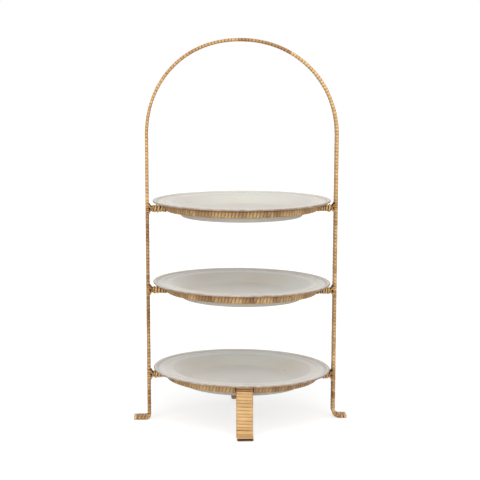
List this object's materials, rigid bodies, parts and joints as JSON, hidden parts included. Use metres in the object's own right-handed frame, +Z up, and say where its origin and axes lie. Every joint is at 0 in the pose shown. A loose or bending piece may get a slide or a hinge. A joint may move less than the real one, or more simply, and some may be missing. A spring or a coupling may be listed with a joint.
{
  "type": "tiered cake stand",
  "caption": "Free-standing tiered serving stand: an arched iron frame bound in split cane, with hoops that hold loose round ceramic plates under a tall carrying arch.",
  "frame": {"origin": "on the floor under the common axis of the three hoops", "axes": "+Z up, +X to the right and -Y towards the front, seen from the side of the front leg"},
  "size_m": [0.2786, 0.2468, 0.4953],
  "materials": {
    "iron": "dark satin",
    "cane_wrap": "natural split cane, semi-matt",
    "cane_lashing": "natural split cane, darker and tighter",
    "plate_glaze": "semi-gloss off-white glaze"
  },
  "bodies": {
    "stand": {"arch_strap": "iron", "front_leg_strap": "iron", "back_leg_strap": "iron", "bottom_ring_hoop": "iron", "bottom_left_arm": "iron", "bottom_right_arm": "iron", "middle_ring_hoop": "iron", "middle_left_arm": "iron", "middle_right_arm": "iron", "top_ring_hoop": "iron", "top_left_arm": "iron", "top_right_arm": "iron", "left_foot_wrap": "cane_wrap", "left_lower_wrap": "cane_wrap", "left_upper_wrap": "cane_wrap", "right_foot_wrap": "cane_wrap", "right_lower_wrap": "cane_wrap", "right_upper_wrap": "cane_wrap", "crown_wrap": "cane_wrap", "front_leg_wrap": "cane_wrap", "back_leg_wrap": "cane_wrap", "middle_ring_front_wrap": "cane_wrap", "middle_ring_back_wrap": "cane_wrap", "top_ring_front_wrap": "cane_wrap", "top_ring_back_wrap": "cane_wrap", "bottom_ring_front_left_wrap": "cane_wrap", "bottom_ring_front_right_wrap": "cane_wrap", "bottom_ring_back_left_wrap": "cane_wrap", "bottom_ring_back_right_wrap": "cane_wrap", "front_leg_binding": "cane_lashing", "back_leg_binding": "cane_lashing", "bottom_left_lashing": "cane_lashing", "bottom_right_lashing": "cane_lashing", "middle_left_lashing": "cane_lashing", "middle_right_lashing": "cane_lashing", "top_left_lashing": "cane_lashing", "top_right_lashing": "cane_lashing"},
    "plate_bottom": {"bottom_plate": "plate_glaze"},
    "plate_middle": {"middle_plate": "plate_glaze"},
    "plate_top": {"top_plate": "plate_glaze"}
  },
  "joints": [
    {"name": "bottom_plate_lift", "type": "slide", "parent": "stand", "child": "plate_bottom", "axis": [0, 0, 1], "range_m": [0, 0.08]},
    {"name": "middle_plate_lift", "type": "slide", "parent": "stand", "child": "plate_middle", "axis": [0, 0, 1], "range_m": [0, 0.075]},
    {"name": "top_plate_lift", "type": "slide", "parent": "stand", "child": "plate_top", "axis": [0, 0, 1], "range_m": [0, 0.1]}
  ]
}
